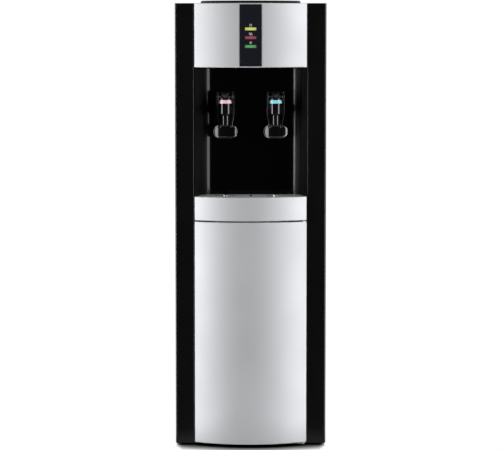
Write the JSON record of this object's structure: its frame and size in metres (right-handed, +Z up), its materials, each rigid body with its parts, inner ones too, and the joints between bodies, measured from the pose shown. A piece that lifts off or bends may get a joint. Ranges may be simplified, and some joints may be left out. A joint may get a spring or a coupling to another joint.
{
  "type": "floor-standing water dispenser",
  "caption": "Tall bottle-top water dispenser: bowed silver door and fascia between black columns, open niche with hot and cold lever taps, drip tray, rear condenser.",
  "frame": {"origin": "on the floor, at the middle of the footprint's bounding box", "axes": "+Z up, the front faces -Y, +X to the viewer's right"},
  "size_m": [0.33, 0.3359, 0.9785],
  "materials": {
    "black_painted_steel": "satin black powder coat",
    "silver_abs": "silver metallic moulded plastic",
    "black_gloss_abs": "polished black moulded plastic",
    "grille_plastic": "grey moulded plastic",
    "black_matte_plastic": "fine textured black plastic",
    "yellow_lens": "translucent yellow",
    "red_lens": "translucent red",
    "green_lens": "translucent green",
    "pink_band": "moulded pink",
    "blue_band": "moulded light blue",
    "galvanised_sheet": "galvanised",
    "zinc_steel": "zinc plated",
    "stainless_tank": "drawn stainless",
    "white_abs": "satin white plastic",
    "foam": "expanded foam",
    "copper_tube": "drawn copper",
    "black_wire": "black enamel",
    "compressor_black": "black paint",
    "rubber": "moulded rubber",
    "silicone": "translucent silicone",
    "circuit_board": "lacquered board",
    "red_switch": "moulded red",
    "green_switch": "moulded green"
  },
  "bodies": {
    "cabinet": {"left_side_panel": "black_painted_steel", "right_side_panel": "black_painted_steel", "upper_fascia": "silver_abs", "tray_housing": "silver_abs", "niche_liner": "black_gloss_abs", "display_strip": "black_gloss_abs", "bottle_collar": "black_gloss_abs", "tap_bodies": "black_gloss_abs", "tap_bonnets": "black_gloss_abs", "top_cover": "black_gloss_abs", "relay_cover": "black_matte_plastic", "control_box": "black_matte_plastic", "switch_plate": "black_matte_plastic", "cord_gland": "black_matte_plastic", "magnet_catch": "black_matte_plastic", "tap_nuts": "black_matte_plastic", "power_lens": "yellow_lens", "heating_lens": "red_lens", "cooling_lens": "green_lens", "hot_band": "pink_band", "cold_band": "blue_band", "back_panel": "galvanised_sheet", "mid_deck": "galvanised_sheet", "base_pan": "galvanised_sheet", "tank_bridge": "galvanised_sheet", "door_hinges": "zinc_steel", "tap_pivot_pins": "zinc_steel", "tap_springs": "zinc_steel", "cold_tank": "stainless_tank", "hot_tank": "stainless_tank", "heater_band": "stainless_tank", "cabinet_liner": "white_abs", "bottle_probe": "white_abs", "baffle": "white_abs", "tank_jacket": "foam", "evaporator_coil": "copper_tube", "refrigerant_pipes": "copper_tube", "condenser_tube": "black_wire", "condenser_grid": "black_wire", "compressor": "compressor_black", "feet": "rubber", "compressor_grommets": "rubber", "tap_seals": "rubber", "tap_hoses": "silicone", "drain_pipe": "silicone", "indicator_board": "circuit_board"},
    "door": {"door_skin": "silver_abs", "door_liner": "white_abs", "door_strike": "zinc_steel", "door_bushes": "white_abs"},
    "drip_tray": {"drip_tray": "black_matte_plastic"},
    "drip_grille": {"drip_grille": "grille_plastic"},
    "hot_lever": {"hot_lever": "black_gloss_abs"},
    "cold_lever": {"cold_lever": "black_gloss_abs"},
    "hot_valve": {"hot_valve": "silicone"},
    "cold_valve": {"cold_valve": "silicone"},
    "heating_switch": {"heating_switch": "red_switch"},
    "cooling_switch": {"cooling_switch": "green_switch"},
    "drain_cap": {"drain_cap": "black_matte_plastic"}
  },
  "joints": [
    {"name": "door_swing", "type": "hinge", "parent": "cabinet", "child": "door", "pos_m": [0.115, -0.13105, 0.0075], "axis": [0, 0, 1], "range_deg": [0, 90]},
    {"name": "drip_tray_lift", "type": "slide", "parent": "cabinet", "child": "drip_tray", "axis": [0, 0, 1], "range_m": [0, 0.06]},
    {"name": "drip_grille_lift", "type": "slide", "parent": "drip_tray", "child": "drip_grille", "axis": [0, 0, 1], "range_m": [0, 0.04]},
    {"name": "hot_lever_push", "type": "hinge", "parent": "cabinet", "child": "hot_lever", "pos_m": [-0.055, -0.11505, 0.7682], "axis": [1, 0, 0], "range_deg": [0, 14], "stiffness_Nm_per_rad": 0.8, "springref_deg": -8.59},
    {"name": "hot_valve_lift", "type": "slide", "parent": "cabinet", "child": "hot_valve", "axis": [0, 0, 1], "range_m": [0, 0.00205], "deforming": ["tap_springs"]},
    {"name": "cold_lever_push", "type": "hinge", "parent": "cabinet", "child": "cold_lever", "pos_m": [0.055, -0.11505, 0.7682], "axis": [1, 0, 0], "range_deg": [0, 14], "stiffness_Nm_per_rad": 0.8, "springref_deg": -8.59},
    {"name": "cold_valve_lift", "type": "slide", "parent": "cabinet", "child": "cold_valve", "axis": [0, 0, 1], "range_m": [0, 0.00205], "deforming": ["tap_springs"]},
    {"name": "heating_rocker", "type": "hinge", "parent": "cabinet", "child": "heating_switch", "pos_m": [0.0995, 0.13695, 0.935], "axis": [1, 0, 0], "range_deg": [-20, 0]},
    {"name": "cooling_rocker", "type": "hinge", "parent": "cabinet", "child": "cooling_switch", "pos_m": [0.1205, 0.13695, 0.935], "axis": [1, 0, 0], "range_deg": [-20, 0]},
    {"name": "drain_cap_turn", "type": "hinge", "parent": "cabinet", "child": "drain_cap", "pos_m": [0, 0.14025, 0.53], "axis": [0, 1, 0], "range_deg": [0, 360]}
  ],
  "couplings": [
    {"joint": "hot_valve_lift", "follows": "hot_lever_push", "m_per_rad": 0.008},
    {"joint": "cold_valve_lift", "follows": "cold_lever_push", "m_per_rad": 0.008}
  ]
}
